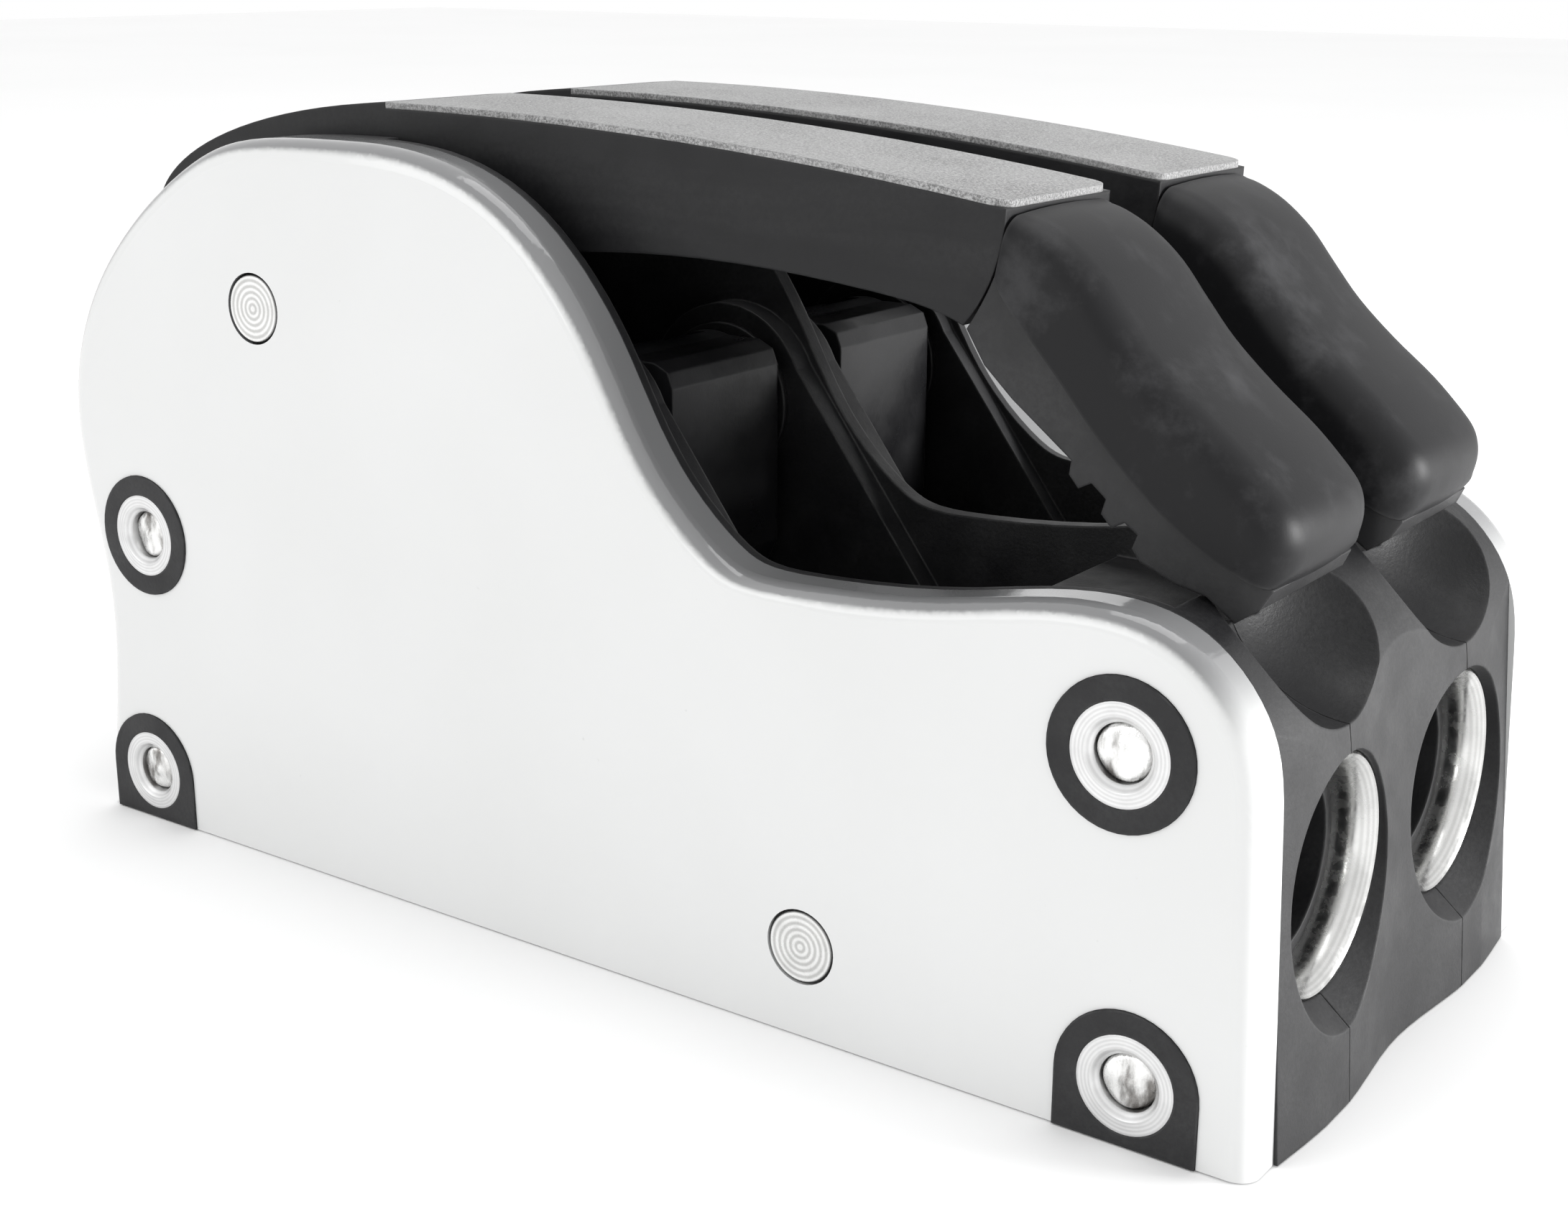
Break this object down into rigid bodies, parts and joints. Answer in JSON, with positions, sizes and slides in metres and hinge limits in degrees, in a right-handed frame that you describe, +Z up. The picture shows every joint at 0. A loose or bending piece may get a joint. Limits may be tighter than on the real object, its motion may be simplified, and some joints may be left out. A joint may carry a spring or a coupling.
{
  "type": "rope clutch",
  "caption": "Deck-mounted rope clutch: side-by-side lanes between coated plates, each with a cam jaw worked by a long hand lever.",
  "frame": {"origin": "on the base plane, at the middle of the bounding box in X and Y", "axes": "+X towards the rope entry and the levers' grips, +Y from the near side plate to the far one, +Z up from the deck"},
  "size_m": [0.1907, 0.0848, 0.1062],
  "materials": {
    "white_coat": "gloss powder coat",
    "body_plastic": "fine-grain moulded black",
    "lever_plastic": "smooth moulded black",
    "grip_core_plastic": "satin moulded dark grey",
    "grip_rubber": "soft over-moulded rubber",
    "label_grey": "speckled writable strip",
    "anodised_ring": "turned and anodised",
    "turned_steel": "turned stainless",
    "polished_steel": "polished stainless",
    "jaw_metal": "dark hard-coated jaw",
    "bearing_bronze": "plain bearing bronze",
    "spring_steel": "drawn stainless wire"
  },
  "bodies": {
    "frame": {"deck_threaded_inserts": "turned_steel", "far_body_moulding": "body_plastic", "far_cam_pin": "turned_steel", "far_cam_spring": "spring_steel", "far_cam_washers": "body_plastic", "far_entry_bush": "polished_steel", "far_exit_bush": "polished_steel", "far_lower_jaw": "jaw_metal", "far_side_plate": "white_coat", "front_bottom_spacer_tube": "anodised_ring", "front_bottom_tie_rod": "turned_steel", "front_top_spacer_tube": "anodised_ring", "front_top_tie_rod": "turned_steel", "lever_pivot_pin": "turned_steel", "lower_jaw_pin": "turned_steel", "middle_body_moulding": "body_plastic", "near_body_moulding": "body_plastic", "near_cam_pin": "turned_steel", "near_cam_spring": "spring_steel", "near_cam_washers": "body_plastic", "near_entry_bush": "polished_steel", "near_exit_bush": "polished_steel", "near_lower_jaw": "jaw_metal", "near_side_plate": "white_coat", "rear_bottom_spacer_tube": "anodised_ring", "rear_bottom_tie_rod": "turned_steel", "rear_middle_spacer_tube": "anodised_ring", "rear_middle_tie_rod": "turned_steel"},
    "near_lever": {"near_lever_arm": "lever_plastic", "near_lever_bush": "bearing_bronze", "near_label_strip": "label_grey", "near_grip_core": "grip_core_plastic", "near_grip_cover": "grip_rubber"},
    "near_cam": {"near_cam_jaw": "jaw_metal"},
    "far_lever": {"far_lever_arm": "lever_plastic", "far_lever_bush": "bearing_bronze", "far_label_strip": "label_grey", "far_grip_core": "grip_core_plastic", "far_grip_cover": "grip_rubber"},
    "far_cam": {"far_cam_jaw": "jaw_metal"}
  },
  "joints": [
    {"name": "near_lever_hinge", "type": "hinge", "parent": "frame", "child": "near_lever", "pos_m": [-0.0545, 0, 0.0793], "axis": [0, -1, 0], "range_deg": [0, 140]},
    {"name": "near_cam_hinge", "type": "hinge", "parent": "frame", "child": "near_cam", "pos_m": [-0.0041, 0, 0.0673], "axis": [0, -1, 0], "range_deg": [-28, 0]},
    {"name": "far_lever_hinge", "type": "hinge", "parent": "frame", "child": "far_lever", "pos_m": [-0.0545, 0, 0.0793], "axis": [0, -1, 0], "range_deg": [0, 140]},
    {"name": "far_cam_hinge", "type": "hinge", "parent": "frame", "child": "far_cam", "pos_m": [-0.0041, 0, 0.0673], "axis": [0, -1, 0], "range_deg": [-28, 0]}
  ],
  "couplings": [
    {"joint": "near_cam_hinge", "follows": "near_lever_hinge", "ratio": -0.2},
    {"joint": "far_cam_hinge", "follows": "far_lever_hinge", "ratio": -0.2}
  ]
}
